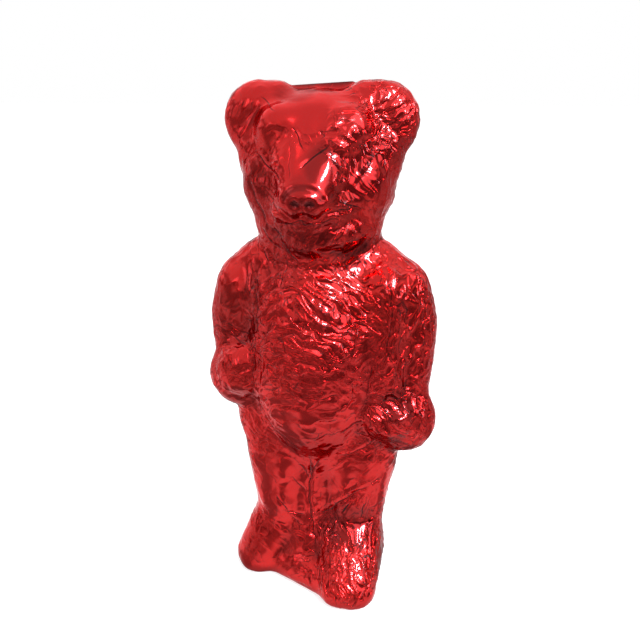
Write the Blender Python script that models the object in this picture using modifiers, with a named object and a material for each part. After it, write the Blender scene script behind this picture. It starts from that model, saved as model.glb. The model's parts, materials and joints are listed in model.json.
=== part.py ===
"""A standing chocolate bear wrapped in foil: one closed solid, metres, +Z up, facing -Y.

The bear is moulded from soft lumps. Ellipsoids and tapered limbs are fused by a voxel remesh and
softened, the fine forms (eyes, nose, mouth, paws, fur ridges and the main folds of the foil) are
pressed into the fused skin, and the feet are set down on a flat base. The bear's own right side is
at -X and its left side at +X.
"""

import math

import bmesh
import bpy
import numpy as np
from mathutils import Matrix, Vector

MM = 0.001
RIGHT, LEFT = -1, 1

# Driving sizes, in millimetres.
HEIGHT = 160.0  # floor to ear tips
HEAD_HALF_WIDTH = 22.8
EAR_SPREAD = 18.0  # ear's middle from the middle of the head
ARM_X = {RIGHT: -26.2, LEFT: 27.5}  # arm's middle line
THIGH_SPREAD = 12.0  # thigh's middle line from the middle of the body
SNOUT_REACH = 26.5  # nose tip ahead of the head's upright axis
BELLY_REACH = 25.0  # belly's front ahead of the same axis
BACK_REACH = 19.0  # back behind it

# Levels above the floor.
EAR_Z = 0.930 * HEIGHT
EYE_Z = 0.909 * HEIGHT
SKULL_Z = 0.868 * HEIGHT
NOSE_Z = 0.808 * HEIGHT
MOUTH_Z = 0.772 * HEIGHT
NECK_Z = 0.722 * HEIGHT
SHOULDER_Z = 0.606 * HEIGHT
BELLY_Z = 0.465 * HEIGHT
HIP_Z = 0.285 * HEIGHT
ANKLE_Z = 0.140 * HEIGHT
PAW_Z = {RIGHT: 0.435 * HEIGHT, LEFT: 0.362 * HEIGHT}

# The pose: the left foot has stepped ahead, and the right foot's toes point outwards.
HEEL = {RIGHT: (-10.8, 2.5), LEFT: (11.0, 2.0)}
TOE = {RIGHT: (-19.3, -2.6), LEFT: (12.3, -16.3)}
INSTEP = {RIGHT: (3.0, 9.8), LEFT: (5.0, 10.4)}  # how far ahead of the heel it starts, and its radius
TOE_RADIUS = 7.3
TOE_SPREAD = 1.9  # how far the toe's two balls lie apart from its middle

# Fur ridges: their height and pitch, and how wide their arch is.
FUR_HEIGHT = 0.3
FUR_PITCH = 4.6
ARCH_WIDTH = 34.0

FINGER_PITCH = 2.6
NOSE_PAD_TURN = 0.65  # radians between the points of the arch over the nose pad

# Mesh settings, in millimetres and counts.
FUSE_VOXEL = 1.0
SOFTEN_STEPS = 22
BASE_ROUNDING = 2.2
BASE_CUT = 0.3
MOST_TRIANGLES = 10800

FOIL_RED = (0.45, 0.012, 0.016, 1.0)


def clear_scene():
    """Removes the startup objects."""
    for obj in list(bpy.data.objects):
        bpy.data.objects.remove(obj)


def foil_material():
    """Red lacquered aluminium foil."""
    material = bpy.data.materials.new("red_foil")
    material.use_nodes = True
    shader = material.node_tree.nodes["Principled BSDF"]
    shader.inputs["Base Color"].default_value = FOIL_RED
    shader.inputs["Metallic"].default_value = 1.0
    shader.inputs["Roughness"].default_value = 0.25
    material.diffuse_color = FOIL_RED
    return material


def ellipsoid(bm, centre, radii, lean=0.0, splay=0.0):
    """Adds an ellipsoid, leant about X and then splayed about Y, in degrees."""
    turn = Matrix.Rotation(math.radians(splay), 4, "Y") @ Matrix.Rotation(math.radians(lean), 4, "X")
    place = Matrix.Translation(Vector(centre)) @ turn @ Matrix.Diagonal((*radii, 1))
    bmesh.ops.create_uvsphere(bm, u_segments=32, v_segments=20, radius=1.0, matrix=place)


def hull(bm, balls):
    """Adds the tight skin round balls given as (x, y, z, radius)."""
    verts = []
    for x, y, z, radius in balls:
        place = Matrix.Translation((x, y, z))
        made = bmesh.ops.create_uvsphere(bm, u_segments=24, v_segments=16, radius=radius, matrix=place)
        verts += made["verts"]
    skin = bmesh.ops.convex_hull(bm, input=verts)
    inside = [item for item in skin["geom_interior"] if isinstance(item, bmesh.types.BMVert)]
    bmesh.ops.delete(bm, geom=inside, context="VERTS")


def limb(bm, stations):
    """Adds a tapered limb through stations (x, y, z, radius): one hull for each pair of balls."""
    for start, end in zip(stations, stations[1:]):
        hull(bm, [start, end])


def add_head(bm):
    """Skull, cheeks, throat and brow."""
    ellipsoid(bm, (0, 0.5, SKULL_Z), (HEAD_HALF_WIDTH - 1.0, 18.0, 19.8))
    ellipsoid(bm, (0, 2.0, SKULL_Z + 10.5), (16.5, 11.0, 9.8))
    ellipsoid(bm, (0, -0.5, SKULL_Z - 9), (HEAD_HALF_WIDTH, 18.0, 15.5))
    ellipsoid(bm, (0, -1.5, NECK_Z + 5), (19.6, 16.5, 12.0))
    for side in (RIGHT, LEFT):
        ellipsoid(bm, (8.5 * side, -8.5, EYE_Z + 1.0), (8.5, 7.5, 8.0))
        ellipsoid(bm, (11.5 * side, -5.5, MOUTH_Z + 8.0), (10.5, 9.5, 12.0))


def add_ears(bm):
    """Round ears, set at the head's top corners and running down into the cheeks."""
    for side in (RIGHT, LEFT):
        ellipsoid(bm, (EAR_SPREAD * side, 0.5, EAR_Z + 0.6), (11.2, 7.4, 11.3))
        ellipsoid(bm, (13.0 * side, 0.5, EAR_Z + 1.8), (8.8, 8.0, 9.9))
        ellipsoid(bm, (13.5 * side, 0.0, EAR_Z - 8), (11.5, 10.5, 15.0))


def add_snout(bm):
    """A straight bridge from the brow down to a blunt nose, over the lips and the chin."""
    for side in (RIGHT, LEFT):
        brow = (6.5 * side, -7.5, EYE_Z - 1.0, 8.0)
        limb(bm, [brow, (1.6 * side, -SNOUT_REACH + 7.0, NOSE_Z + 0.2, 5.9)])
    ellipsoid(bm, (0, -SNOUT_REACH + 5.2, NOSE_Z), (7.6, 5.4, 5.8))
    ellipsoid(bm, (0, -14.5, MOUTH_Z + 2.5), (12.0, 9.3, 7.0))
    ellipsoid(bm, (0, -13.0, MOUTH_Z - 4.0), (10.0, 8.5, 6.5))


def add_torso(bm):
    """Neck, shoulders, a barrel of chest and belly, the seat and a small tail."""
    ellipsoid(bm, (0, 0, NECK_Z - 2), (18.4, 15.5, 15.0))
    ellipsoid(bm, (0, 0.5, SHOULDER_Z + 9), (27.5, 14.0, 12.0))
    ellipsoid(bm, (0, -1.0, SHOULDER_Z), (24.5, BACK_REACH - 0.5, 17.5))
    ellipsoid(bm, (0, -2.5, BELLY_Z + 6), (21.6, BELLY_REACH - 3.0, 38.0))
    ellipsoid(bm, (0, 0.5, HIP_Z + 30), (24.5, BACK_REACH - 1.5, 28.0))
    ellipsoid(bm, (0.3, 0.0, HIP_Z + 11), (27.9, BACK_REACH - 4.5, 23.0))
    ellipsoid(bm, (0, 4.0, HIP_Z + 19), (24.0, BACK_REACH - 4.0, 34.0))
    ellipsoid(bm, (0, BACK_REACH - 4.5, HIP_Z + 14), (6.5, 6.0, 8.0))


def add_arm(bm, side):
    """Shoulder, upper arm, forearm and a paw laid against the belly."""
    x = ARM_X[side]
    paw = PAW_Z[side]
    limb(
        bm,
        [
            (x * 0.82, 0.5, SHOULDER_Z + 1.0, 12.0),
            (x * 0.98, 0.5, SHOULDER_Z - 8, 9.8),
            (x, -0.5, (SHOULDER_Z + paw) / 2, 8.6),
            (x * 0.97, -2.0, paw + 9, 8.0),
        ],
    )
    if side == LEFT:
        limb(bm, [(20.0, -7.5, SHOULDER_Z + 4, 8.0), (20.5, -9.5, paw + 16, 7.0)])
    ellipsoid(bm, (x * 0.99 + 0.5, -3.5, paw + 1.0), (10.1, 9.5, 11.0), splay=14 * side)
    ellipsoid(bm, (x * 0.82, -8.0, paw + 5.0), (10.5, 9.3, 9.2), splay=26 * side)


def add_leg(bm, side):
    """Thigh, shin and a foot that runs from its heel to its toes."""
    x = THIGH_SPREAD * side
    heel_x, heel_y = HEEL[side]
    toe_x, toe_y = TOE[side]
    limb(
        bm,
        [
            (x * 1.02 + 0.5, 0.5, HIP_Z, 13.2),
            ((x + heel_x) / 2, heel_y * 0.4, ANKLE_Z + 10, 11.6),
            (heel_x * 0.95, heel_y * 0.7, ANKLE_Z - 2, 10.6),
            (heel_x, heel_y, 9.5, 10.8),
        ],
    )
    ahead = Vector((toe_x - heel_x, toe_y - heel_y)).normalized()
    across = Vector((-ahead.y, ahead.x))
    advance, radius = INSTEP[side]
    instep = Vector((heel_x, heel_y)) + advance * ahead
    toe = Vector((toe_x, toe_y)) + TOE_SPREAD * ahead
    foot = [(heel_x, heel_y + 1.5, 7.0, 11.0), (*instep, 17.0, radius)]
    for way in (-1, 1):
        foot.append((*(toe + way * TOE_SPREAD * across), 3.0, TOE_RADIUS))
    hull(bm, foot)


def add_web(bm):
    """The chocolate that fills the gap between the feet and the legs."""
    limb(bm, [(0, 0.5, HIP_Z + 4, 11.0), (-1.0, -0.5, ANKLE_Z, 8.5), (-2.0, -1.5, 5.0, 12.0)])
    right_x, right_y = TOE[RIGHT]
    left_x, left_y = TOE[LEFT]
    limb(bm, [(right_x + 6, right_y, 3.0, 7.6), (left_x - 4, left_y + 2, 3.0, 7.6)])


def fused_lumps():
    """All lumps as one object, fused by voxels and softened."""
    bm = bmesh.new()
    add_head(bm)
    add_ears(bm)
    add_snout(bm)
    add_torso(bm)
    add_web(bm)
    for side in (RIGHT, LEFT):
        add_arm(bm, side)
        add_leg(bm, side)
    mesh = bpy.data.meshes.new("lumps")
    bmesh.ops.scale(bm, vec=(MM, MM, MM), verts=bm.verts)
    bm.to_mesh(mesh)
    bm.free()
    obj = bpy.data.objects.new("lumps", mesh)
    bpy.context.scene.collection.objects.link(obj)
    fuse = obj.modifiers.new("fuse", "REMESH")
    fuse.mode = "VOXEL"
    fuse.voxel_size = FUSE_VOXEL * MM
    soften = obj.modifiers.new("soften", "SMOOTH")
    soften.factor = 0.5
    soften.iterations = SOFTEN_STEPS
    return obj


def applied(obj):
    """The object's evaluated mesh as a new mesh; the object is removed."""
    graph = bpy.context.evaluated_depsgraph_get()
    mesh = bpy.data.meshes.new_from_object(obj.evaluated_get(graph))
    bpy.data.objects.remove(obj)
    return mesh


def push(points, centre, radii, move):
    """Moves the points inside an ellipsoid by up to move, fading smoothly to nothing at its edge."""
    reach = np.sum(((points - centre) / radii) ** 2, axis=1)
    share = np.clip(1 - reach, 0, None) ** 2
    points += share[:, None] * np.array(move)


def crease(points, path, width, move):
    """Moves the points near a path by up to move: a groove or a ridge along it."""
    nearest = np.full(len(points), np.inf)
    for start, end in zip(path, path[1:]):
        start, along = np.array(start, float), np.array(end, float) - np.array(start, float)
        share = np.clip((points - start) @ along / (along @ along), 0, 1)
        nearest = np.minimum(nearest, np.linalg.norm(points - start - share[:, None] * along, axis=1))
    fade = np.clip(1 - (nearest / width) ** 2, 0, None) ** 2
    points += fade[:, None] * np.array(move)


def model_face(points):
    """Eyes, nose pad, nostrils, the line under the nose, the mouth and the ears' hollows."""
    nose_y = -SNOUT_REACH
    for side in (RIGHT, LEFT):
        push(points, (9.0 * side, -16.5, EYE_Z), (4.2, 6.0, 3.0), (0, 1.1, 0))
        push(points, (9.0 * side, -15.5, EYE_Z), (2.4, 6.0, 1.9), (0, -1.1, 0))
        push(points, (2.2 * side, nose_y, NOSE_Z - 1.0), (2.0, 5.0, 1.9), (0, 1.0, 0))
        push(points, (19.5 * side, -7.0, EAR_Z), (6.5, 7.0, 7.0), (0, 1.0, 0))
    arch = []
    for step in range(-2, 3):
        turn = NOSE_PAD_TURN * step
        arch.append((5.0 * math.sin(turn), nose_y, NOSE_Z - 0.8 + 4.0 * math.cos(turn)))
    crease(points, arch, 1.9, (0, 0.6, 0))
    crease(points, [(0, nose_y + 1, NOSE_Z - 1.5), (0, nose_y + 4, MOUTH_Z)], 1.8, (0, 0.7, 0))
    lips = []
    for step in range(-6, 7):
        turn = step / 6
        lips.append((10.5 * turn, -21.0 + 5.0 * turn**2, MOUTH_Z + 2.2 * turn**2))
    crease(points, lips, 2.0, (0, 1.1, 0))


def model_paws(points):
    """Grooves between the fingers of each paw."""
    for side in (RIGHT, LEFT):
        for finger in (-1, 0, 1):
            x = (22.0 + FINGER_PITCH * finger) * side
            z = PAW_Z[side] + 5.5 - FINGER_PITCH * finger
            path = [(x - 4.5 * side, -18.5, z + 2.5), (x + 4.5 * side, -16.5, z - 3.5)]
            crease(points, path, 2.0, (0, 0.9, 0))


def comb_fur(points):
    """Arched ridges of fur down the chest and the belly, drooping to both sides."""
    x, _, z = points.T
    wander = 0.8 * np.sin(0.31 * x + 0.12 * z) + 0.6 * np.sin(0.23 * z - 0.17 * x)
    arc = z + x**2 / ARCH_WIDTH + wander
    front = np.clip((-points[:, 1] - 8) / 8, 0, 1) * np.clip((18 - np.abs(x)) / 6, 0, 1)
    span = np.clip((z - BELLY_Z + 16) / 8, 0, 1) * np.clip((SHOULDER_Z + 8 - z) / 6, 0, 1)
    height = FUR_HEIGHT * (0.7 + 0.3 * np.sin(0.4 * x - 0.21 * z))
    points[:, 1] += height * front * span * np.cos(2 * math.pi * arc / FUR_PITCH)


def settle_on_base(bm):
    """Rounds the underside as if pressed on a table, then cuts it flat and drops it to the floor."""
    rounding = BASE_ROUNDING * MM
    cut = BASE_CUT * MM
    for vert in bm.verts:
        vert.co.z = (vert.co.z + math.hypot(vert.co.z, rounding)) / 2
    geometry = bm.verts[:] + bm.edges[:] + bm.faces[:]
    bmesh.ops.bisect_plane(
        bm, geom=geometry, dist=1e-7, plane_co=(0, 0, cut), plane_no=(0, 0, 1), clear_inner=True
    )
    rim = [edge for edge in bm.edges if edge.is_boundary]
    bmesh.ops.contextual_create(bm, geom=rim)
    bmesh.ops.translate(bm, vec=(0, 0, -cut), verts=bm.verts)


def centre_on_floor(bm):
    """Puts the middle of the bounding box on the Z axis."""
    xs = [vert.co.x for vert in bm.verts]
    ys = [vert.co.y for vert in bm.verts]
    middle = Vector(((min(xs) + max(xs)) / 2, (min(ys) + max(ys)) / 2, 0))
    bmesh.ops.translate(bm, vec=-middle, verts=bm.verts)
    print("axis moved by", [round(-c / MM, 2) for c in middle])


def make_bear():
    """The finished solid."""
    mesh = applied(fused_lumps())
    coordinates = np.empty(len(mesh.vertices) * 3)
    mesh.vertices.foreach_get("co", coordinates)
    points = coordinates.reshape(-1, 3) / MM
    model_face(points)
    model_paws(points)
    comb_fur(points)
    mesh.vertices.foreach_set("co", (points * MM).ravel())
    bm = bmesh.new()
    bm.from_mesh(mesh)
    settle_on_base(bm)
    centre_on_floor(bm)
    bm.to_mesh(mesh)
    bm.free()
    mesh.name = "foil_wrapped_bear"
    bear = bpy.data.objects.new("foil_wrapped_bear", mesh)
    mesh.materials.append(foil_material())
    mesh.shade_smooth()
    collection = bpy.data.collections.new("chocolate_bear")
    bpy.context.scene.collection.children.link(collection)
    collection.objects.link(bear)
    mesh.calc_loop_triangles()
    thin_out = bear.modifiers.new("thin_out", "DECIMATE")
    thin_out.ratio = min(1.0, MOST_TRIANGLES / len(mesh.loop_triangles))
    print("triangles before thinning", len(mesh.loop_triangles))
    return bear


clear_scene()
make_bear()
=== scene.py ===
# %% [markdown]
# # A foil-wrapped chocolate bear
# A moulded chocolate bear is wrapped in thin aluminium foil under a clear red lacquer. The packed
# model gives the bear's form, and this script dresses it: the foil lies tight on the chocolate, so
# its skin starts as a copy of that form, and then gets the folds and crinkles that thin metal takes
# when it is pressed round a shape. The first cell loads the frame and keeps its box.

# %% Load the frame
import json
import math

import bmesh
import bpy
import numpy as np
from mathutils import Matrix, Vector, noise

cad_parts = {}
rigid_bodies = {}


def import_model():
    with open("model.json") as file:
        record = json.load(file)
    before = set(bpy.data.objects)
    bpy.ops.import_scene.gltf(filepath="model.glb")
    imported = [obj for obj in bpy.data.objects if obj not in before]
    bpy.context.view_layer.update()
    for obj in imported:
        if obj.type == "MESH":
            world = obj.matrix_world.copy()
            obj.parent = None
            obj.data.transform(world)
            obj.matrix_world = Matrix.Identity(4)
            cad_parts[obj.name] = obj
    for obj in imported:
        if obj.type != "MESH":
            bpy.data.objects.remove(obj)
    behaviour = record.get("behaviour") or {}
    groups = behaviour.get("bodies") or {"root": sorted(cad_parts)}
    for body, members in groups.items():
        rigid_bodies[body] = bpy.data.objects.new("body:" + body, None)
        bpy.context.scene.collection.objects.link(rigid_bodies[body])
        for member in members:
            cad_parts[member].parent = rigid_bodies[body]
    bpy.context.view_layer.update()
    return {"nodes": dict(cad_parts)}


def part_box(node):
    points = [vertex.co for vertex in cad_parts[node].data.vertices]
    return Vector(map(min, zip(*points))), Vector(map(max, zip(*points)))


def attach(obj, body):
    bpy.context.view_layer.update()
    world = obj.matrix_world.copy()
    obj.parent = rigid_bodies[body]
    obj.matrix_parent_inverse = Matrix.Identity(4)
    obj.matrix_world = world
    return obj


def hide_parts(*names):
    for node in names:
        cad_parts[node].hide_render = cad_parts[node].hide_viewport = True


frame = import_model()
low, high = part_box("foil_wrapped_bear")
MM = 0.001
HEIGHT = (high.z - low.z) / MM
print(f"frame loaded: {HEIGHT:.1f} mm tall")

# %% [markdown]
# ## Where things are on the bear
# Every place below is measured in millimetres from the bear's upright axis, which runs through the
# head, and in shares of its height. The bear faces -Y, and its own right side is at -X. The axis
# isn't quite in the middle of the box, because one foot is a step ahead.

# %% Landmarks
size = high - low
AXIS = np.array([low.x + 0.4845 * size.x, low.y + 0.5667 * size.y, 0.0]) / MM
RIGHT, LEFT = -1, 1
EAR_Z = 0.930 * HEIGHT
EYE_Z = 0.909 * HEIGHT
NOSE_Z = 0.808 * HEIGHT
MOUTH_Z = 0.772 * HEIGHT
NECK_Z = 0.722 * HEIGHT
SHOULDER_Z = 0.606 * HEIGHT
BELLY_Z = 0.465 * HEIGHT
HIP_Z = 0.285 * HEIGHT
print("upright axis at", AXIS.round(2), "mm")

# %% [markdown]
# ## The camera
# The camera stands close by, at the height of the ears. It has a normal lens, looks down a little,
# and stands a few degrees round to the bear's left. It could be aimed by a constraint at an empty
# object, but here its place and tilt are plain numbers, so each can be changed alone. Every object
# of this script goes into the scene through `placed`.

# %% Camera
CAMERA_DISTANCE = 225.0
CAMERA_HEIGHT = 0.991 * HEIGHT
CAMERA_AZIMUTH = math.radians(11.0)
CAMERA_TILT = math.radians(17.4)
CAMERA_LENS = 42.2
SENSOR_WIDTH = 36.0


def placed(name, data):
    """A new object that shows this data, linked into the scene."""
    obj = bpy.data.objects.new(name, data)
    bpy.context.scene.collection.objects.link(obj)
    return obj


camera_data = bpy.data.cameras.new("camera")
camera_data.sensor_width = SENSOR_WIDTH
camera_data.lens = CAMERA_LENS
camera = placed("camera", camera_data)
camera.location = (
    (AXIS[0] + CAMERA_DISTANCE * math.sin(CAMERA_AZIMUTH)) * MM,
    (AXIS[1] - CAMERA_DISTANCE * math.cos(CAMERA_AZIMUTH)) * MM,
    CAMERA_HEIGHT * MM,
)
camera.rotation_euler = (math.pi / 2 - CAMERA_TILT, 0, CAMERA_AZIMUTH)
bpy.context.scene.camera = camera
bpy.context.scene.view_settings.view_transform = "Standard"
print("camera stands", [round(c, 3) for c in camera.location])

# %% [markdown]
# ## The floor and the room
# Shiny metal has hardly any colour of its own to show: what the eye reads as its light and shade is
# a picture of the room. So the room is made with care, from nodes: a panorama wrapped round it
# could do it too, but a few ramps and patches of noise are enough, and each can be tuned alone. The
# helpers below add nodes to the tree in `nodes` and `links`, which each material or world sets.

# %% Shader helpers
def mapped(source, start, end, low_value, high_value):
    """A smooth ramp of one number, clamped at both ends."""
    ramp = nodes.new("ShaderNodeMapRange")
    ramp.interpolation_type = "SMOOTHSTEP"
    ramp.inputs["From Min"].default_value = start
    ramp.inputs["From Max"].default_value = end
    ramp.inputs["To Min"].default_value = low_value
    ramp.inputs["To Max"].default_value = high_value
    links.new(source, ramp.inputs["Value"])
    return ramp.outputs["Result"]


def calculated(operation, *sources):
    """The result of one operation on numbers, each given as a socket or as a value."""
    node = nodes.new("ShaderNodeMath")
    node.operation = operation
    for socket, source in zip(node.inputs, sources):
        if isinstance(source, float):
            socket.default_value = source
        else:
            links.new(source, socket)
    return node.outputs[0]


def added(first, second):
    """The sum of two numbers."""
    return calculated("ADD", first, second)


def product(first, second):
    """One number times another."""
    return calculated("MULTIPLY", first, second)


def split(place):
    """The three coordinates of a place."""
    node = nodes.new("ShaderNodeSeparateXYZ")
    links.new(place, node.inputs[0])
    return node.outputs


def noise_texture(place, scale, detail):
    """Soft noise at a place; the scale is in cells for each unit of length."""
    texture = nodes.new("ShaderNodeTexNoise")
    texture.inputs["Scale"].default_value = scale
    texture.inputs["Detail"].default_value = detail
    links.new(place, texture.inputs["Vector"])
    return texture.outputs["Fac"]


def by_ray(kind, others, chosen):
    """One shader for the rays of a kind, and another for all others."""
    mix = nodes.new("ShaderNodeMixShader")
    links.new(nodes.new("ShaderNodeLightPath").outputs[kind], mix.inputs["Fac"])
    links.new(others.outputs[0], mix.inputs[1])
    links.new(chosen.outputs[0], mix.inputs[2])
    return mix.outputs[0]


print("helpers ready")

# %% [markdown]
# The floor is a wide pale sheet that glows a little, so that to the camera it is an even bright
# white. In the foil's reflections it is not lit at all but glows by itself, and that glow is
# painted greyer: darker towards the camera and on the bear's left, and patchy. This is painted
# shade and shadow, standing in for a real table under an object. A light path node tells the
# two kinds of ray apart.

# %% Floor
FLOOR_SIZE = 6.0
FLOOR_GREY = (0.5, 0.5, 0.5, 1)
FLOOR_GLOW = 0.70
WHITE = (1, 1, 1, 1)

floor_mesh = bpy.data.meshes.new("floor")
bm = bmesh.new()
bmesh.ops.create_grid(bm, x_segments=1, y_segments=1, size=FLOOR_SIZE)
bm.to_mesh(floor_mesh)
bm.free()
floor = placed("floor", floor_mesh)

pale = bpy.data.materials.new("pale_floor")
pale.use_nodes = True
nodes, links = pale.node_tree.nodes, pale.node_tree.links
surface = nodes["Principled BSDF"]
surface.inputs["Base Color"].default_value = FLOOR_GREY
surface.inputs["Roughness"].default_value = 0.9
surface.inputs["Specular IOR Level"].default_value = 0.1
surface.inputs["Emission Color"].default_value = WHITE
surface.inputs["Emission Strength"].default_value = FLOOR_GLOW
# In reflections the floor is only this glow, and no lamp; painted shade and shadow vary its
# strength.
painted_floor_glow = nodes.new("ShaderNodeEmission")
ground = nodes.new("ShaderNodeTexCoord").outputs["Object"]
coordinates = split(ground)
near_to_far = mapped(coordinates["Y"], -0.26, 0.02, 0.34, 0.84)
right_to_left = mapped(coordinates["X"], 0.03, 0.30, 1.0, 0.6)
patches = mapped(noise_texture(ground, 20.0, 2.0), 0.43, 0.57, 0.45, 1.45)
links.new(product(product(near_to_far, right_to_left), patches), painted_floor_glow.inputs["Strength"])
blend = by_ray("Is Glossy Ray", surface, painted_floor_glow)
links.new(blend, nodes["Material Output"].inputs["Surface"])
floor_mesh.materials.append(pale)
print("floor laid")

# %% [markdown]
# The walls are a world shader, turned with the camera. A white backdrop stands behind the bear,
# the ceiling is bright, and the side that the camera stands on is dim, with soft patches as of
# furniture and windows. Those patches are what breaks up over the crinkles into light and dark
# red. High up they fade out, so that the calm foil on top of the head stays clean.

# %% World
world = bpy.data.worlds.new("studio")
bpy.context.scene.world = world
world.use_nodes = True
nodes, links = world.node_tree.nodes, world.node_tree.links
nodes.clear()

turned = nodes.new("ShaderNodeMapping")
turned.inputs["Rotation"].default_value = (0, 0, -CAMERA_AZIMUTH)
links.new(nodes.new("ShaderNodeTexCoord").outputs["Generated"], turned.inputs["Vector"])
direction = turned.outputs["Vector"]
coordinates = split(direction)
backdrop = mapped(coordinates["Y"], -0.15, 0.7, 0.41, 1.00)
sideways = mapped(coordinates["X"], -0.9, 0.9, 0.08, -0.22)
ceiling = mapped(coordinates["Z"], -0.05, 0.75, 0.0, 0.68)
patches = mapped(noise_texture(direction, 4.2, 2.0), 0.44, 0.56, 0.20, 1.90)
clean = nodes.new("ShaderNodeMix")
links.new(mapped(coordinates["Z"], 0.35, 0.75, 0.0, 1.0), clean.inputs["Factor"])
links.new(added(product(added(backdrop, sideways), patches), ceiling), clean.inputs["A"])
links.new(added(backdrop, ceiling), clean.inputs["B"])
lit = nodes.new("ShaderNodeBackground")
links.new(clean.outputs["Result"], lit.inputs["Strength"])
seen = nodes.new("ShaderNodeBackground")
seen.inputs["Color"].default_value = WHITE
output = nodes.new("ShaderNodeOutputWorld")
links.new(by_ray("Is Camera Ray", lit, seen), output.inputs["Surface"])
print("room made")

# %% [markdown]
# Lamps are soft boxes here: a mirror shows a lamp's shape, so a bare point would show as nothing.
# A big one hangs in front, high on the camera's right. It makes the white sparks on the ear, the
# chest and the foot, and a small strong one in front of it keeps them hard. A weak lamp low on the
# right lights the edges, and a weak panel hangs on the left.

# %% Lights
LAMP_COLOUR = (0.87, 0.88, 1.0)
AIM = Vector((0, 0, 0.5 * HEIGHT * MM))


def soft_box(name, azimuth, elevation, distance, side, radiance):
    """A square area light that looks at the bear. Its radiance is what the foil mirrors."""
    data = bpy.data.lights.new(name, "AREA")
    data.color = LAMP_COLOUR
    data.size = side
    data.energy = radiance * math.pi * side**2
    light = placed(name, data)
    turn, rise = CAMERA_AZIMUTH + math.radians(azimuth), math.radians(elevation)
    flat = math.cos(rise)
    toward = Vector((math.sin(turn) * flat, -math.cos(turn) * flat, math.sin(rise)))
    light.location = AIM + toward * distance
    light.rotation_euler = toward.to_track_quat("Z", "Y").to_euler()


soft_box("key", 38, 36, 0.80, 0.80, 2.1)
soft_box("lamp", 36, 42, 0.70, 0.15, 105.0)
soft_box("edge", 72, 8, 0.70, 0.10, 8.0)
soft_box("panel", -60, 25, 0.80, 0.25, 1.2)
print("lights hung")

# %% [markdown]
# ## The foil's finish
# The red is a dye in a clear lacquer over bright aluminium. Light passes it twice, so the metal is
# a red mirror, and a thin coat on top mirrors a little white. Where foil is creased sharply, light
# is caught in the fold and comes out almost black; here that black is painted shade, mixed into
# the red along the folds and creases and in the hollows. Noise alone can't know where the folds
# are, so the skin made further down carries masks of them on its points, and the material reads
# those.

# %% Foil material
BRIGHT_RED = (0.67, 0.018, 0.0175)
DEEP_RED = (0.54, 0.011, 0.010)
# The three dark reds below are painted shade: for hollows and creases, for the net of ridges, and
# for the folds.
PAINTED_SHADE_RED = (0.06, 0.002, 0.002)
PAINTED_RIDGE_SHADE_RED = (0.10, 0.003, 0.003)
PAINTED_FOLD_SHADE_RED = (0.03, 0.001, 0.001)
EDGE_TINT = (0.90, 0.45, 0.46, 1)

foil = bpy.data.materials.new("red_foil")
foil.use_nodes = True
nodes, links = foil.node_tree.nodes, foil.node_tree.links
shader = nodes["Principled BSDF"]
shader.inputs["Metallic"].default_value = 1.0
shader.inputs["Coat Weight"].default_value = 0.36
shader.inputs["Coat Roughness"].default_value = 0.05
shader.inputs["Specular Tint"].default_value = EDGE_TINT
place = nodes.new("ShaderNodeTexCoord").outputs["Object"]
in_mm = nodes.new("ShaderNodeMapping")
in_mm.inputs["Scale"].default_value = (1 / MM, 1 / MM, 1 / MM)
links.new(place, in_mm.inputs["Vector"])
fine_place = in_mm.outputs["Vector"]


def attribute(name, output):
    """A value that the skin carries on its points."""
    node = nodes.new("ShaderNodeAttribute")
    node.attribute_name = name
    return node.outputs[output]


def colour_mix(factor, first, second):
    """Mixes two colours, given as sockets or as values."""
    node = nodes.new("ShaderNodeMix")
    node.data_type = "RGBA"
    links.new(factor, node.inputs["Factor"])
    for socket, colour in ((node.inputs["A"], first), (node.inputs["B"], second)):
        if isinstance(colour, tuple):
            socket.default_value = (*colour, 1)
        else:
            links.new(colour, socket)
    return node.outputs["Result"]


print("foil finish started")

# %% [markdown]
# The finest lines on the foil are thinner than a triangle of its skin. So they are drawn by masks:
# a hairline along each fold, a thin net over the crumpled parts, the crests of the crinkles, and
# creases. Each mask is 1 on its line and falls to 0 beside it.

# %% Fine lines
NET_PITCH = 6.5
NET_PATCH = 5.0


def line(offset, start, end):
    """A mask that falls from 1 to 0 with the distance from a line, on either side."""
    return mapped(calculated("ABSOLUTE", offset), start, end, 1.0, 0.0)


crumple_share = attribute("crumple", "Fac")
hair = product(line(attribute("fold_side", "Fac"), 0.05, 0.26), attribute("fold_near", "Fac"))
net = nodes.new("ShaderNodeTexVoronoi")
net.feature = "DISTANCE_TO_EDGE"
net.inputs["Scale"].default_value = 1 / NET_PITCH
links.new(fine_place, net.inputs["Vector"])
shown = mapped(noise_texture(fine_place, 1 / NET_PATCH, 1.0), 0.50, 0.62, 0.0, 1.0)
shown = product(shown, mapped(crumple_share, 0.30, 0.55, 0.0, 1.0))
ridges = product(mapped(net.outputs["Distance"], 0.0, 0.045, 1.0, 0.0), shown)
levels = split(attribute("grain", "Vector"))
coarse_crest = line(levels["X"], 0.0, 0.10)
medium_crest = line(levels["Y"], 0.0, 0.20)
crease = product(line(levels["Z"], 0.0, 0.05), attribute("unbroken", "Fac"))
print("fine lines masked")

# %% [markdown]
# The hairline, the net and the creases darken the red, and so does the `shade` mask of the
# hollows: all of this darkening is painted shade. Every mask also lifts or presses the surface a
# little: a bump of under a fifth of a millimetre is enough for the mirror to break there. Crumpled
# foil is also a little sharper as a mirror than the calm foil, whose lacquer is softly scattered.

# %% Colour, gloss and bump
lacquer = colour_mix(noise_texture(place, 60.0, 3.0), BRIGHT_RED, DEEP_RED)
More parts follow.
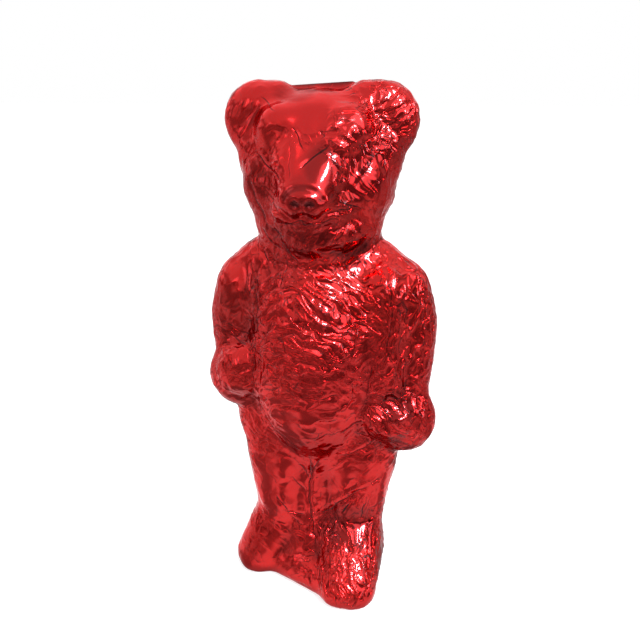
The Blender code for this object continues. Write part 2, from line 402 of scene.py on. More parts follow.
# Painted shade: the hollows, the net of ridges, the creases and the folds mix the red towards dark
# reds.
shaded = colour_mix(attribute("shade", "Fac"), lacquer, PAINTED_SHADE_RED)
lined = colour_mix(product(ridges, 0.35), shaded, PAINTED_RIDGE_SHADE_RED)
creased = colour_mix(product(crease, 0.65), lined, PAINTED_SHADE_RED)
red = colour_mix(product(hair, 0.95), creased, PAINTED_FOLD_SHADE_RED)
links.new(red, shader.inputs["Base Color"])
links.new(mapped(crumple_share, 0.0, 0.6, 0.23, 0.12), shader.inputs["Roughness"])

crests_height = added(product(coarse_crest, 0.08), product(medium_crest, 0.11))
crests_height = product(crests_height, crumple_share)
pressed = added(product(hair, -0.15), product(crease, -0.10))
lines_height = added(product(ridges, 0.09), pressed)
bump = nodes.new("ShaderNodeBump")
bump.inputs["Strength"].default_value = 1.0
bump.inputs["Distance"].default_value = MM
links.new(added(crests_height, lines_height), bump.inputs["Height"])
links.new(bump.outputs["Normal"], shader.inputs["Normal"])
print("foil finish made")

# %% [markdown]
# ## The skin
# The foil's skin starts as a copy of the moulded form. Its triangles are welded and evened out by
# a voxel remesh, fine enough to carry crinkles of about a millimetre, and softened to lose the
# facets of the solid. A cloth simulation could wrap it too, but this foil was pressed on tight, so
# its form is the chocolate's own.

# %% Copy the moulded form
VOXEL = 0.47
WELD = 1e-6
SOFTEN_ROUNDS = 14
skin_mesh = frame["nodes"]["foil_wrapped_bear"].data.copy()
bm = bmesh.new()
bm.from_mesh(skin_mesh)
bmesh.ops.remove_doubles(bm, verts=bm.verts, dist=WELD)
bm.to_mesh(skin_mesh)
bm.free()
skin = placed("foil_skin", skin_mesh)

remesh = skin.modifiers.new("even", "REMESH")
remesh.mode = "VOXEL"
remesh.voxel_size = VOXEL * MM
relax = skin.modifiers.new("relax", "SMOOTH")
relax.factor = 0.5
relax.iterations = SOFTEN_ROUNDS
graph = bpy.context.evaluated_depsgraph_get()
skin_mesh = bpy.data.meshes.new_from_object(skin.evaluated_get(graph))
bpy.data.objects.remove(skin)
print("skin has", len(skin_mesh.vertices), "points and", len(skin_mesh.polygons), "faces")

# %% [markdown]
# From here on the work is done on arrays of points, in millimetres about the axis. Numpy moves all
# the points in one sum. A loop over them would be slow, and sculpting could not be repeated.

# %% Read and write points
def read(mesh):
    """The mesh's points in millimetres about the bear's axis, and their normals."""
    places, normals = np.empty((2, len(mesh.vertices) * 3))
    mesh.vertices.foreach_get("co", places)
    mesh.vertex_normals.foreach_get("vector", normals)
    return places.reshape(-1, 3) / MM - AXIS, normals.reshape(-1, 3)


def write(mesh, points):
    """Puts points, in millimetres about the axis, back on the mesh."""
    mesh.vertices.foreach_set("co", ((points + AXIS) * MM).ravel())
    mesh.update()


points, normals = read(skin_mesh)
print("points read, the highest at", points[:, 2].max().round(2), "mm")

# %% [markdown]
# ## Pressing the forms again
# The remesh and the softening have blurred the small forms, so they are pressed in again. `push`
# moves the points inside an ellipsoid and fades to nothing at its edge, and `along_path` gives each
# point's distance from a bent line, which the nose, the lips and later the folds are drawn with.

# %% Pressing tools
def smooth(share):
    """A ramp from 0 to 1 with soft ends."""
    share = np.clip(share, 0, 1)
    return share * share * (3 - 2 * share)


def push(points, centre, radii, move):
    """Moves the points inside an ellipsoid by up to move, fading to nothing at its edge."""
    reach = np.sum(((points - centre) / radii) ** 2, axis=1)
    points += (np.clip(1 - reach, 0, None) ** 2)[:, None] * np.array(move)


def curved(path):
    """A bent line rounded off: points on a smooth curve through the path's points."""
    path = np.array(path, float)
    padded = np.vstack([2 * path[0] - path[1], path, 2 * path[-1] - path[-2]])
    rounded = []
    for before, start, end, after in zip(padded, padded[1:], padded[2:], padded[3:]):
        square = 2 * before - 5 * start + 4 * end - after
        cube = 3 * (start - end) + after - before
        for t in np.linspace(0, 1, 5)[:-1]:
            bend = square * t**2 + cube * t**3
            rounded.append(0.5 * (2 * start + (end - before) * t + bend))
    return np.array(rounded + [path[-1]])


def along_path(places, path):
    """Each place's distance from a bent line, its distance to the left, and its way along."""
    nearest = np.full(len(places), np.inf)
    side = np.zeros(len(places))
    way = np.zeros(len(places))
    passed = 0.0
    for start, end in zip(path, path[1:]):
        start = np.array(start, float)
        step = np.array(end, float) - start
        length = np.linalg.norm(step)
        offset = places - start
        share = np.clip(offset @ step / (step @ step), 0, 1)
        distance = np.linalg.norm(offset - share[:, None] * step, axis=1)
        closer = distance < nearest
        nearest = np.where(closer, distance, nearest)
        across = (step[0] * offset[:, 1] - step[1] * offset[:, 0]) / length
        side = np.where(closer, across, side)
        way = np.where(closer, passed + share * length, way)
        passed += length
    return nearest, side, way / passed


print("pressing tools ready")

# %% [markdown]
# First come the soft forms of the whole figure. Each row of the table gives a middle, the half
# widths and the move: foil bridges the roots of the ears and the neck, and so lies fuller there.

# %% Press the soft forms
PRESSES = (
    ((0, 0, HEIGHT - 2), (14, 15, 8), (0, 0, -0.7)),  # crown
    ((3, -17, NECK_Z - 2.5), (19, 10, 6), (0, -2.2, 0)),  # neck
    ((-12, -8, EAR_Z - 1), (6, 9, 11), (0, -1.4, 0)),  # root of the right ear
    ((12, -8, EAR_Z - 1), (6, 9, 11), (0, -1.4, 0)),  # root of the left ear
    ((24.5, -17, 67), (7, 7, 5), (-0.3, 1.6, -1.0)),  # hollow over the left paw
    ((9.5, -16, EYE_Z - 1), (8, 7, 5), (0.4, -1.4, 0)),  # left brow
    ((12, -12, 28), (9, 9, 7), (0, -1.3, 0)),  # left ankle
    ((-14, -8, 26), (9, 9, 7), (0, -0.9, 0)),  # right ankle
)
for centre, radii, move in PRESSES:
    push(points, centre, radii, move)
print("soft forms pressed:", len(PRESSES))

# %% [markdown]
# Then the nose, the lips and the teeth. They are only faint under the foil, which spans their
# hollows, so the grooves are wide and shallow.

# %% Press the face
front = smooth((0.1 - normals[:, 1]) / 0.4)
flat_places = points[:, [0, 2]]


def groove(path, width, depth):
    """Presses a groove along a path seen from the front: (x, z) in millimetres."""
    distance = along_path(flat_places, path)[0]
    fade = np.clip(1 - (distance / width) ** 2, 0, None) ** 2
    points[:, 1] += depth * fade * front


for side in (RIGHT, LEFT):
    push(points, (2.1 * side, -25.0, NOSE_Z - 1.1), (2.0, 6.0, 1.8), (0, 0.6, 0))
turns = np.linspace(-1.4, 1.4, 9)
pad = [(5.2 * math.sin(turn), NOSE_Z - 0.6 + 3.8 * math.cos(turn)) for turn in turns]
groove(pad, 1.6, 0.5)
groove([(0, NOSE_Z - 2), (0, MOUTH_Z + 1.5)], 1.3, 0.7)
lips = [(x, MOUTH_Z + 0.6 + 0.02 * x * x + 0.7 * math.cos(0.9 * x)) for x in range(-11, 12)]
groove(lips, 1.5, 0.7)
for tooth in range(-4, 5):
    push(points, (1.7 * tooth, -19.0, MOUTH_Z - 2.0), (1.1, 5.0, 1.2), (0, 0.65, 0))
groove([(x, MOUTH_Z - 4.2 + 0.03 * x * x) for x in range(-8, 9, 2)], 1.5, 0.3)
push(points, (11.5, -17.0, MOUTH_Z - 5.5), (7.0, 9.0, 6.0), (0.8, -2.2, -0.6))
write(skin_mesh, points)
points, normals = read(skin_mesh)
print("face pressed")

# %% [markdown]
# ## Crinkles
# Crumpled foil is a net of flat facets that meet in sharp edges. A Voronoi pattern gives just
# that: the difference of the squared distances to the two nearest cell points is flat inside each
# facet, and it folds at every border. Its places are shifted by slow waves first, or the facets
# would look like cut stones.

# %% Facets
CELL_SEED_STEP = 17.0


def wander(places, pitch, amount):
    """Places shifted by a slow wave, up to about the amount."""
    wave = 2 * math.pi / pitch
    x, y, z = places.T
    shift = np.stack(
        [
            np.sin(wave * (y + 0.6 * z) + 1.0) + np.sin(wave * 1.7 * (z - 0.4 * x) + 4.0),
            np.sin(wave * (z + 0.5 * x) + 2.0) + np.sin(wave * 1.6 * (x + 0.7 * y) + 0.5),
            np.sin(wave * (x - 0.7 * y) + 3.0) + np.sin(wave * 1.8 * (y + 0.3 * z) + 5.5),
        ],
        axis=1,
    )
    return places + 0.5 * amount * shift


def cells(places, pitch, seed):
    """Distances to the nearest and second nearest cell points, in cells."""
    near = np.empty((len(places), 2))
    for index, place in enumerate(places / pitch + CELL_SEED_STEP * seed):
        near[index] = noise.voronoi(place)[0][:2]
    return near.T


def facets(places, pitch, seed):
    """Flat facets with sharp creases between them, from about -0.25 to 1."""
    first, second = cells(places, pitch, seed)
    return second**2 - first**2 - 0.25


def zone(places, centre, radii):
    """1 inside an ellipsoid and 0 well outside it, with a soft edge."""
    reach = np.sqrt(np.sum(((places - centre) / radii) ** 2, axis=1))
    return smooth((1.3 - reach) / 0.6)


bent = wander(wander(points, 23.0, 1.6), 9.0, 0.7)
x, y, z = points.T
print("crinkle tools ready")

# %% [markdown]
# Pressed foil also has a grain: its crinkles run lengthwise on an arm, fan out over an ear and hang
# in arcs on the belly. Each row of the table below is one region: its middle and its half widths,
# the way its crinkles run, how far they are drawn out, how dense they are, and how crumpled the
# foil is there. A row's number picks its noise, so a new row belongs at the end.

# %% Regions
REGIONS = (
    ((18, 0, EAR_Z), (11, 11, 12), "fan", 4.5, 1.6, 1.45),  # left ear
    ((-19, 0, EAR_Z), (12, 12, 13), (0.5, 0, 1), 2.5, 0.9, 0.25),  # right ear
    ((0, -12, 0.96 * HEIGHT), (13, 12, 8), (1, 0, 0), 1.5, 0.8, 0.06),  # forehead
    ((0, -20, NOSE_Z + 4), (8, 10, 10), (0, 0, 1), 1.5, 0.8, 0.08),  # snout
    ((11, -13, EYE_Z), (8, 9, 9), (0.6, 0, -1), 2.2, 0.75, 1.15),  # left eye
    ((16, -12, MOUTH_Z + 8), (8, 10, 12), (-0.5, 0, 1), 3.0, 0.9, 0.4),  # left cheek
    ((-16, -12, MOUTH_Z + 4), (8, 10, 15), (0.35, 0, 1), 4.0, 1.3, 0.35),  # right cheek
    ((0, -14, NECK_Z), (20, 14, 6), (0.5, 0, 1), 2.8, 1.2, 1.0),  # throat
    ((-27, -6, SHOULDER_Z + 9), (8, 12, 10), (1, 0, 1), 1.5, 0.8, 0.12),  # right shoulder
    ((10, -22, SHOULDER_Z + 2), (13, 12, 14), (0.8, 0, -0.7), 5.5, 1.55, 2.1),  # chest
    ((-6, -22, BELLY_Z + 14), (16, 14, 18), "arcs", 5.0, 1.1, 1.15),  # belly
    ((0, -20, HIP_Z + 18), (20, 14, 14), (1, 0, 0.3), 2.0, 0.6, 0.42),  # lower belly
    ((27, -6, BELLY_Z + 18), (9, 14, 24), (0.15, 0, 1), 4.0, 1.1, 1.3),  # left arm
    ((-28, -2, BELLY_Z + 20), (8, 14, 12), (0.7, 0, 1), 3.0, 0.8, 0.45),  # right arm
    ((24, -10, 60), (11, 10, 9), (0.8, 0, -0.8), 5.0, 1.2, 1.4),  # left paw
    ((-27, -8, 70), (9, 10, 10), (0.5, 0, 1), 1.6, 0.8, 0.35),  # right paw
    ((-10, -8, 34), (12, 14, 15), (0.3, 0, 1), 2.0, 0.6, 0.32),  # right leg
    ((12, -8, 36), (12, 14, 13), (0.6, 0, 1), 2.0, 0.6, 0.32),  # left leg
    ((12.5, -16, 16), (9, 15, 20), (0.05, -0.7, -1), 7.0, 1.9, 1.6),  # left foot
    ((-17, -6, 8), (12, 13, 9), (-0.3, -1, 0.7), 3.0, 0.8, 0.25),  # right foot
    ((0, 16, EAR_Z - 4), (20, 12, 16), (1, 0, 0.15), 2.0, 0.8, 0.15),  # back of the head
    ((0, 16, NECK_Z), (20, 12, 8), (0.3, 0, 1), 3.0, 1.1, 0.8),  # nape
    ((-6, 16, BELLY_Z + 8), (22, 12, 26), (0.8, 0, 1), 4.0, 1.0, 0.6),  # back
    ((0, 16, 48), (20, 12, 10), (1, 0, -0.2), 2.5, 0.8, 0.5),  # seat
    ((0, 16, 22), (20, 12, 18), (0.15, 0, 1), 3.0, 0.8, 0.4),  # backs of the legs
    ((-12, -12, EYE_Z - 1), (8, 10, 9), (0.5, 0, 1), 2.0, 0.8, 0.18),  # right eye
)
print("regions listed:", len(REGIONS))

# %% [markdown]
# Each region has its own places, squeezed along the run of its crinkles, so that noise read there
# comes out drawn out along that run. For a fan the places are angles and radii about a root beside
# the ear, and for arcs they are bent down to both sides.

# %% Region tools
FAN_ROOT = (-8, -4)
FAN_RADIUS = 13
ARC_BEND = 34
WAVE_SEED_STEP = 31.7


def squeezed(offset, along, stretch, density):
    """Offsets made denser, and shortened along one direction."""
    along = np.array(along, float)
    along /= np.linalg.norm(along)
    run = (offset @ along)[:, None] * along
    return density * (offset - run + run / stretch)


def drawn_out(offset, along, stretch, density):
    """A region's own places, in which its crinkles are as long as they are wide."""
    if along == "fan":
        across, up = offset[:, 0] - FAN_ROOT[0], offset[:, 2] - FAN_ROOT[1]
        angle, radius = np.arctan2(up, across), np.hypot(up, across)
        fan = np.stack([FAN_RADIUS * angle, offset[:, 1], radius / stretch], axis=1)
        return density * fan
    if along == "arcs":
        offset = offset + np.array([0, 0, 1]) * (offset[:, 0] ** 2 / ARC_BEND)[:, None]
        along = (1, 0, 0)
    return squeezed(offset, along, stretch, density)


def waves(places, pitch, seed):
    """Smooth noise about zero, whose hills and hollows are about a pitch apart."""
    made = np.empty(len(places))
    for index, place in enumerate(places / pitch + WAVE_SEED_STEP * seed):
        made[index] = noise.noise(place)
    return made


print("region tools ready")

# %% [markdown]
# Three waves are read for each point: coarse crinkles, medium ones and long creases. Where regions
# meet, the waves themselves are blended. A blend of the places would bend the crinkles into swirls.
# A blend of waves is weaker than each of them, and dividing by the root of the summed squares makes
# up for that. `crumple` says how crumpled the foil is, and `lift` how high its crinkles stand.

# %% Grain
PITCHES = (4.2, 2.3, 5.0)
CALM = 0.5
FAINT = 0.01
LAST_SEED = 70

grain = np.zeros((len(points), 3))
total = np.zeros(len(points))
squares = np.full(len(points), 1e-6)
crumple = np.zeros(len(points))
lift = np.zeros(len(points))
for row, (centre, radii, along, stretch, density, amount) in enumerate(REGIONS):
    weight = zone(points, centre, radii)
    here = np.flatnonzero(weight > FAINT)
    weight = weight[here]
    made = drawn_out(bent[here] - centre, along, stretch, density)
    for level, pitch in enumerate(PITCHES):
        grain[here, level] += weight * waves(made, pitch, 3 * row + level)
    total[here] += weight
    squares[here] += weight**2
    crumple[here] += weight * amount
    lift[here] += weight * amount / density
rest = np.clip(1 - total, 0, 1)
here = np.flatnonzero(rest > FAINT)
for level, pitch in enumerate(PITCHES):
    grain[here, level] += rest[here] * waves(bent[here], pitch, LAST_SEED + level)
grain /= np.sqrt(squares + rest**2)[:, None]
uneven = 0.6 + 0.5 * smooth(2.2 * (facets(wander(points, 31.0, 4.0), 15.0, 31) + 0.25))
near_base = smooth((4.0 - z) / 3.0)
uneven *= 1 - 0.8 * near_base
crumple = uneven * (crumple / np.maximum(total, 1) + CALM * rest)
lift = uneven * (lift / np.maximum(total, 1) + CALM * rest)
off_seam = smooth((np.abs(y - 1.5) - 1.0) / 6.0)
lift *= 0.45 + 0.55 * off_seam
print("crumple from", crumple.min().round(2), "to", crumple.max().round(2))

# %% [markdown]
# Now the waves become heights, in millimetres out along the normals. A crinkle is a sharp crest
# with a smooth hollow on each side, which is what a wave makes where it crosses zero. The legs are
# calmer: large flat plates lie there, with few crests. Geometry carries all this, and no bump map,
# because the crinkles have to show in the outline and from the side as well.

# %% Heights of the crinkles
CREST_WIDTH = 0.32
CREASE_WIDTH = 0.16
LARGE_FACETS, SMALL_FACETS = 0.35, 0.40
COARSE_CRESTS, MEDIUM_CRESTS = 0.48, 0.16
CREASE_DEPTH = 0.16


def crests(wave):
    """Sharp crests where the wave crosses zero, with smooth hollows between them."""
    return np.clip(1 - np.abs(wave) / CREST_WIDTH, 0, 1) ** 1.3 - 0.35


plates = smooth((52 - z) / 8) * smooth((z - 18) / 8)
coarse, medium, creases = grain.T
here_and_there = smooth((waves(bent, 6.0, 4) - 0.04) / 0.12)
unbroken = here_and_there * smooth((crumple - 0.3) / 0.3) * (1 - plates)
relief = LARGE_FACETS * facets(bent, 9.0, 1) * np.clip(crumple + 0.4 + 0.4 * plates, 0, 1)
relief += SMALL_FACETS * facets(bent, 4.6, 2) * lift * (0.15 + 0.35 * plates)
relief += COARSE_CRESTS * crests(coarse) * lift * (1 - 0.6 * plates)
relief += MEDIUM_CRESTS * crests(medium) * lift * (1 - 0.6 * plates)
crease_line = np.clip(1 - np.abs(creases) / CREASE_WIDTH, 0, 1)
relief -= CREASE_DEPTH * crease_line * np.clip(lift + 0.2, 0, 1) * unbroken
print("relief from", relief.min().round(2), "to", relief.max().round(2), "mm")

# %% [markdown]
# ## Folds
# On top of the crinkles lie single folds, where the foil was doubled over or drawn into a hollow.
# Each is a short bent line with a sharp bottom and a soft lip on one side, as the foil piles up
# there. Modelled by hand they would need a much finer mesh. Here every point is moved by its
# distance from the line, and the same distance goes into the mask along which a dark line of
# shade is painted into the red.

# %% Fold tool
FOLD_HALF_WIDTH = 1.1
LIP_HALF_WIDTH = 1.3
LIP_REACH = 2.7
FOLD_MARGIN = 4
fold_near = np.zeros(len(points))
fold_side = np.full(len(points), 2.0)
nearest_fold = np.full(len(points), np.inf)
fold_places = points[:, [0, 2]] + 0.2 * np.sin(1.1 * points[:, [2, 0]] + [0.5, 2.0])


def beside(distance):
    """1 within about a millimetre of a line, and 0 from 1.4 mm on."""
    return smooth((1.4 - distance) / 0.5)


def fold(path, depth, dark, facing):
    """Presses one sharp fold along a path in (x, z) into the points that face the right way."""
    rounded = curved(path)
    start, end = rounded.min(axis=0) - FOLD_MARGIN, rounded.max(axis=0) + FOLD_MARGIN
    inside = (fold_places > start) & (fold_places < end)
    here = np.flatnonzero(inside.all(axis=1) & (facing > 0))
    distance, side, way = along_path(fold_places[here], rounded)
    strength = facing[here] * smooth(5 * way * (1 - way) + 0.1)
    lip = np.clip(1 - np.abs(side - LIP_HALF_WIDTH) / LIP_HALF_WIDTH, 0, 1)
    lip *= distance < LIP_REACH
    relief[here] -= depth * strength * np.clip(1 - distance / FOLD_HALF_WIDTH, 0, 1) ** 1.5
    relief[here] += 0.6 * depth * strength * lip
    closer = distance < nearest_fold[here]
    changed = here[closer]
    nearest_fold[changed] = distance[closer]
    fold_side[changed] = side[closer]
    # The fold's mask for its painted line of shade.
    fold_near[changed] = (dark * strength * beside(distance))[closer]


print("fold tool ready")

# %% [markdown]
# The tables hold one fold in each row: the points of its path, seen from the front as (x, z), its
# depth in millimetres, and how dark the painted line of shade along it is. First come the face and
# the neck.

# %% Folds of the head
LIP_PATH = [(-12.5, 123.5), (-8, 122.5), (-4, 122), (-1, 123.5)]
LIP_PATH += [(0.5, 122), (7.5, 123.5), (10.5, 122)]
HEAD_FOLDS = (
    ([(-16.5, 140.5), (-12, 137), (-6.5, 133)], 0.30, 1.0),
    ([(-5, 147.5), (-3, 145), (-1, 141.5)], 0.20, 0.8),
    ([(-1.5, 137), (2.5, 140.5), (6.5, 143.5)], 0.22, 1.0),
    ([(8.5, 128.5), (11, 127.5), (14.5, 125.5)], 0.25, 1.0),
    ([(9, 126), (12.5, 126)], 0.15, 0.8),
    ([(-18, 134.5), (-17, 130), (-14.5, 123.5), (-11.5, 118.5)], 0.25, 0.5),
    ([(-14, 131.5), (-10, 128), (-7, 124)], 0.20, 0.5),
    ([(-16, 155.5), (-13, 153.5), (-10, 151.5)], 0.15, 0.6),
    ([(13, 141.5), (17.5, 145.5), (22.5, 149), (26, 151.5)], 0.25, 0.6),
    ([(13, 131), (14, 133.5), (17.5, 139)], 0.25, 0.5),
    (LIP_PATH, 0.2, 0.65),
    ([(-12.5, 146), (-10.5, 147), (-8, 146)], 0.2, 0.5),
    ([(-5, 144.5), (-4.5, 138), (-4.2, 133.5)], 0.2, 0.3),
)
NECK_FOLDS = (
    ([(-15.5, 119), (-12, 115), (-8.5, 113)], 0.35, 0.9),
    ([(-12, 120.5), (-8, 116.5), (-5.5, 111.5)], 0.35, 0.9),
    ([(-16, 112), (-13, 108.5)], 0.3, 0.9),
    ([(-7.5, 113.5), (-3, 110)], 0.3, 0.9),
)
print("folds of the head:", len(HEAD_FOLDS + NECK_FOLDS))

# %% [markdown]
# On the body the longest folds run down between the arms and the barrel, and under the belly.

# %% Folds of the body
BODY_FOLDS = (
    ([(-17, 108), (-16.5, 97.5), (-17, 82.5), (-18, 66.5)], 0.3, 0.5),
    ([(19, 68), (22.5, 66), (26, 63)], 0.2, 0.5),
    ([(21, 69.5), (25, 67.5), (28.5, 64.5)], 0.2, 0.5),
    ([(9.5, 57.5), (13, 60), (17, 62)], 0.3, 0.7),
    ([(2, 101), (3, 97), (5, 94)], 0.30, 0.3),
    ([(-0.5, 72), (4, 71), (10, 72.5)], 0.25, 0.7),
    ([(18.5, 80.5), (18, 76), (17, 71)], 0.35, 0.5),
    ([(21.5, 109), (23.5, 101.5), (24, 94), (22.5, 84), (19.5, 77.5)], 0.4, 0.5),
    ([(-28, 88.5), (-23.5, 86), (-18.5, 85)], 0.2, 0.6),
    ([(-28.5, 85), (-24, 83.5), (-20, 82.5)], 0.2, 0.6),
    ([(-18, 66.5), (-16, 62), (-12.5, 57), (-8, 54), (-2, 49)], 0.35, 0.7),
    ([(7.5, 48), (13.5, 49.5), (19.5, 53.5), (23, 59.5)], 0.35, 0.6),
    ([(17, 70.5), (20, 70.5), (24.5, 69.5), (28, 66.5)], 0.3, 0.4),
)
print("folds of the body:", len(BODY_FOLDS))

# %% [markdown]
# On the legs, one long fold runs down between them, and shorter ones meet it. The back is wrapped
# with fewer, longer folds.

# %% Folds of the legs and the back
LEG_FOLDS = (
    ([(0.5, 19.5), (0.5, 13), (2, 9.5)], 0.2, 0.4),
    ([(-0.5, 49), (-1, 40.5), (-2, 31), (-1, 23), (0, 17.5), (1, 10)], 0.4, 0.8),
    ([(-5, 43.5), (-3, 41), (-2, 37.5)], 0.25, 0.7),
    ([(3, 46.5), (0.5, 43), (-1.5, 37.5)], 0.25, 0.7),
    ([(-9.5, 24), (-6, 23.5), (-3, 23)], 0.25, 0.9),
    ([(-12.5, 31), (-10, 26.5), (-8.5, 24)], 0.2, 0.7),
    ([(-8.5, 22.5), (-4.5, 19.5), (-1.5, 21)], 0.25, 0.6),
    ([(0.5, 27), (2.5, 24.5), (6, 27.5), (10, 32), (15, 35.5), (18.5, 37.5)], 0.3, 0.7),
    ([(18.5, 37), (21, 38.5)], 0.5, 1.0),
    ([(9, 26.5), (12, 31)], 0.4, 1.0),
    ([(15.5, 24.5), (16, 28.5), (17.5, 31)], 0.25, 0.8),
    ([(-7.5, 38.5), (-5, 35), (-3, 32)], 0.2, 0.6),
    ([(-9.5, 1.5), (-3.5, 1.7), (1.5, 2.5)], 0.2, 0.7),
)
BACK_FOLDS = (
    ([(-9, 146), (-2, 148), (6, 145)], 0.25, 0.4),
    ([(4, 134), (9, 128), (11, 121)], 0.25, 0.5),
    ([(-14, 118), (-10, 112), (-11, 106)], 0.35, 0.8),
    ([(-6, 117), (-3, 111), (-4, 104)], 0.35, 0.7),
    ([(5, 118), (4, 111), (8, 105)], 0.35, 0.7),
    ([(13, 117), (12, 111), (16, 107)], 0.35, 0.8),
    ([(-16, 96), (-8, 88), (3, 84), (14, 86)], 0.30, 0.5),
    ([(-12, 72), (-2, 66), (9, 67), (16, 72)], 0.30, 0.5),
    ([(-15, 52), (-7, 47), (0, 45), (8, 47), (15, 51)], 0.35, 0.7),
    ([(0, 44), (0.5, 32), (-0.5, 20), (0, 8)], 0.40, 0.8),
    ([(-13, 26), (-8, 22), (-4, 21)], 0.25, 0.7),
    ([(4, 27), (9, 24), (13, 27)], 0.25, 0.7),
)
FRONT_FOLDS = HEAD_FOLDS + NECK_FOLDS + BODY_FOLDS + LEG_FOLDS
for path, depth, dark in FRONT_FOLDS:
    fold(path, depth, dark, front)
back = smooth((y - 6) / 4)
for path, depth, dark in BACK_FOLDS:
    fold(path, depth, dark, back)
print("folds made:", len(FRONT_FOLDS + BACK_FOLDS))

# %% [markdown]
# The wrap is two sheets, one pressed over the front and one over the back. The front one's edge
# lies over the other in a low crimp. Between the ears it stands up a little, and its face there is
# painted almost black, a painted line of shade; the rest of the seam gets a fainter painted line.
# A seam as a function of height and width keeps both sheets on the same wavy edge.

# %% Seam
def seam(points):
    """How far behind the axis the front sheet ends, in millimetres."""
    x, _, z = points.T
    return 2.0 + 0.6 * np.sin(0.23 * z + 0.5) + 0.25 * np.sin(0.9 * z + 0.4 * x)


seam_side = y - seam(points)
crimp = 0.7 + 0.3 * np.sin(2.2 * z + 1.3 * x)
relief += 0.22 * np.exp(-(((seam_side + 0.9) / 0.7) ** 2)) * crimp
relief -= 0.12 * np.exp(-(((seam_side - 0.5) / 0.5) ** 2))
at_seam = np.abs(seam_side) < nearest_fold
fold_side[at_seam] = seam_side[at_seam]
# A fainter painted line of shade along the seam.
fold_near[at_seam] = 0.55 * beside(np.abs(seam_side[at_seam]))
crown = smooth((11.0 - np.abs(x)) / 2.0) * smooth((z - 0.94 * HEIGHT) / 2.0)
# Where the edge stands up between the ears; later its face is painted almost black as shade.
fin = crown * smooth((1.2 - np.abs(seam_side)) / 0.5)
print("seam crimped")

# %% [markdown]
# ## Painted shade in the hollows
# In a hollow the foil mostly mirrors other foil, and red in red is dark red. The renderer finds
# some of that, but few rays go round often enough. So hollows are found and painted darker, as
# painted shade in the colour: the mesh is smoothed many times, and where a point lies deep under
# its smoothed place, it lies in a hollow.

# %% Find the hollows
SMOOTHING_STEPS = 140


def hollowness(mesh, points, normals, steps):
    """How deep each point lies in a hollow: the way out to its smoothed place, in millimetres."""
    pairs = np.empty(len(mesh.edges) * 2, dtype=np.int32)
    mesh.edges.foreach_get("vertices", pairs)
    start, end = pairs.reshape(-1, 2).T
    count = np.bincount(pairs, minlength=len(points))
    smoothed = points.T.copy()
    for _ in range(steps):
        for axis, old in enumerate(smoothed):
            neighbours = np.bincount(start, old[end], len(points))
            neighbours += np.bincount(end, old[start], len(points))
            smoothed[axis] = neighbours / count
    return np.sum((smoothed.T - points) * normals, axis=1)


hollow = hollowness(skin_mesh, points, normals, SMOOTHING_STEPS)
print("hollows up to", hollow.max().round(2), "mm, bulges up to", -hollow.min().round(2), "mm")

# %% [markdown]
# Some places get more painted shade than their depth alone gives them, such as the nostrils, the
# throat and the left ankle; there it stands in for shade and for dark things mirrored. Each row of
# the table paints shade on one: its middle, its half widths and how dark it gets. The painted shade
# at the base, on the undersides, along the arch of the nose and on the standing edge of the seam is
# worked out from the shape itself.

# %% Paint shade into the hollows
PAINTED_SHADE_ZONES = (
    ((-2.0, -25, NOSE_Z - 1.2), (1.5, 6, 1.1), 0.9),  # right nostril
    ((2.0, -25, NOSE_Z - 1.2), (1.5, 6, 1.1), 0.9),  # left nostril
    ((0, -25, NOSE_Z - 0.6), (2.4, 6, 0.7), 0.6),  # between the nostrils
    ((26, -15, 67), (6, 8, 5), 0.5),  # over the left paw
    ((-18, -12, BELLY_Z + 22), (4, 8, 12), 0.4),  # inside of the right arm
    ((10.5, -17, NOSE_Z - 1), (5, 7, 7), 0.3),  # left of the nose
    ((1.5, -24, NOSE_Z + 3), (6, 6, 4), 0.25),  # top of the nose
    ((-4, -16, NECK_Z + 2), (14, 10, 5), 0.45),  # under the chin
    ((12, -12, 23), (10, 9, 7), 0.55),  # left ankle
    ((0, -25, NOSE_Z - 1), (5, 5, 4), 0.25),  # tip of the nose
    ((10, -12, NECK_Z - 1), (8, 7, 3.5), 0.75),  # left side of the throat
    ((-9, -16, NECK_Z - 9), (7, 8, 5), 0.3),  # right side of the chest
    ((-6, -4, 0.975 * HEIGHT), (6, 7, 4), 0.35),  # crown
    ((4.5, -20, NOSE_Z + 8), (5, 7, 7), 0.5),  # bridge of the snout
    ((17, -12, EYE_Z - 9), (5, 8, 6), 0.3),  # left cheekbone
    ((22, -5, EAR_Z - 5), (6, 8, 7), 0.25),  # root of the left ear
    ((-27, -10, BELLY_Z + 16), (7, 10, 10), 0.35),  # right forearm
    ((-17, -14, MOUTH_Z + 6), (7, 10, 10), 0.4),  # right cheek
)
# Painted shade: deep hollows and the listed zones darken the red.
shade = 0.55 * smooth((hollow - 0.15) / 0.9)
for centre, radii, amount in PAINTED_SHADE_ZONES:
    shade = np.maximum(shade, amount * zone(points, centre, radii))
# Painted shade at the base, under overhangs, along the nose's arch and on the seam's standing edge.
base_rim = smooth((5 - z) / 4)
underside = smooth((-normals[:, 2] - 0.2) / 0.5) * smooth((z - 20) / 10)
nose_arch = front * smooth((1.5 - along_path(points[:, [0, 2]], pad)[0]) / 1.0)
for amount, part in ((0.5, base_rim), (0.65, underside), (0.6, nose_arch), (0.97, fin)):
    shade = np.maximum(shade, amount * part)
print("hollows shaded")

# %% [markdown]
# All the heights are now moved into the mesh at once, each point along its normal. The base stays
# flat on the table, and the edge between the ears is drawn up to a straight top. The masks go with
# the mesh as attributes on its points, where the material finds them by name.

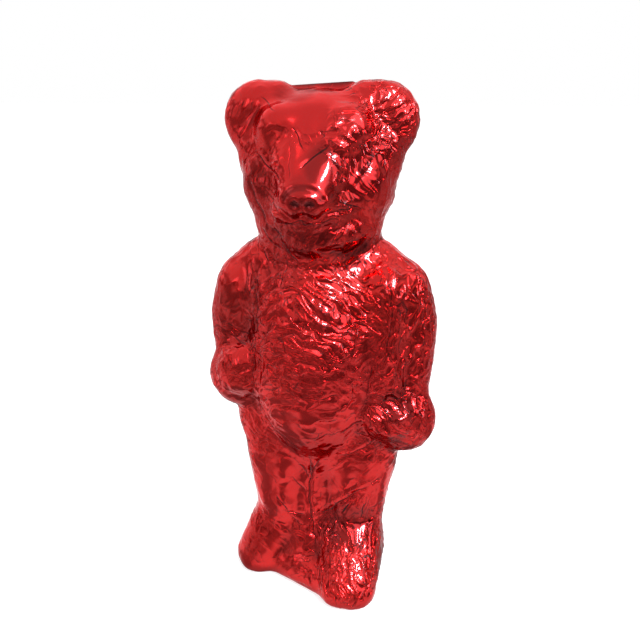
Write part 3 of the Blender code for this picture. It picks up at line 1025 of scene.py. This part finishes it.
# %% Raise the relief
points += normals * relief[:, None]
points[:, 2] = np.maximum(points[:, 2], 0)
fin_top = 0.994 * HEIGHT + 0.06 * x
points[:, 2] += fin * np.maximum(fin_top - points[:, 2], 0)
write(skin_mesh, points)
skin_mesh.shade_smooth()
skin_mesh.materials.clear()
skin_mesh.materials.append(foil)
for name, kind, values in (
    ("fold_near", "FLOAT", fold_near),
    ("fold_side", "FLOAT", fold_side),
    ("shade", "FLOAT", shade),
    ("crumple", "FLOAT", crumple),
    ("unbroken", "FLOAT", unbroken),
    ("grain", "FLOAT_VECTOR", np.stack([coarse, medium, creases], axis=1)),
):
    carried = skin_mesh.attributes.new(name, kind, "POINT")
    field = "vector" if kind == "FLOAT_VECTOR" else "value"
    carried.data.foreach_set(field, values.astype(np.float32).ravel())
print("relief raised, and", len(skin_mesh.attributes), "attributes carried")

# %% [markdown]
# ## The two sheets
# Now the skin is cut in two along the seam, for the real wrap is two sheets. The seam is wavy, so
# the points are shifted until it is a flat plane, cut, and shifted back. Each half is closed by a
# face inside, out of sight, and rides on the bear's body in place of the plain solid.

# %% Cut into two sheets
CUT_TOLERANCE = 1e-7


def shift_to_seam(mesh, direction):
    """Moves the points so that the seam lies in the plane y = 0, or back."""
    points, _ = read(mesh)
    points[:, 1] -= direction * seam(points)
    write(mesh, points)


def sheet(name, is_front):
    """One half of the skin, as an object that rides the bear."""
    mesh = skin_mesh.copy()
    shift_to_seam(mesh, 1)
    bm = bmesh.new()
    bm.from_mesh(mesh)
    geometry = bm.verts[:] + bm.edges[:] + bm.faces[:]
    bmesh.ops.bisect_plane(
        bm,
        geom=geometry,
        dist=CUT_TOLERANCE,
        plane_co=AXIS * MM,
        plane_no=(0, 1, 0),
        clear_outer=is_front,
        clear_inner=not is_front,
    )
    rim = [edge for edge in bm.edges if edge.is_boundary]
    for edge in rim:
        edge.smooth = False
    inside = bmesh.ops.holes_fill(bm, edges=rim, sides=0)["faces"]
    bmesh.ops.triangulate(bm, faces=inside)
    bm.to_mesh(mesh)
    bm.free()
    shift_to_seam(mesh, -1)
    obj = placed(name, mesh)
    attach(obj, "root")
    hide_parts("foil_wrapped_bear")
    mesh.calc_loop_triangles()
    print(name, "has", len(mesh.loop_triangles), "triangles and", len(inside), "inner faces")


sheet("foil_front", True)
sheet("foil_back", False)
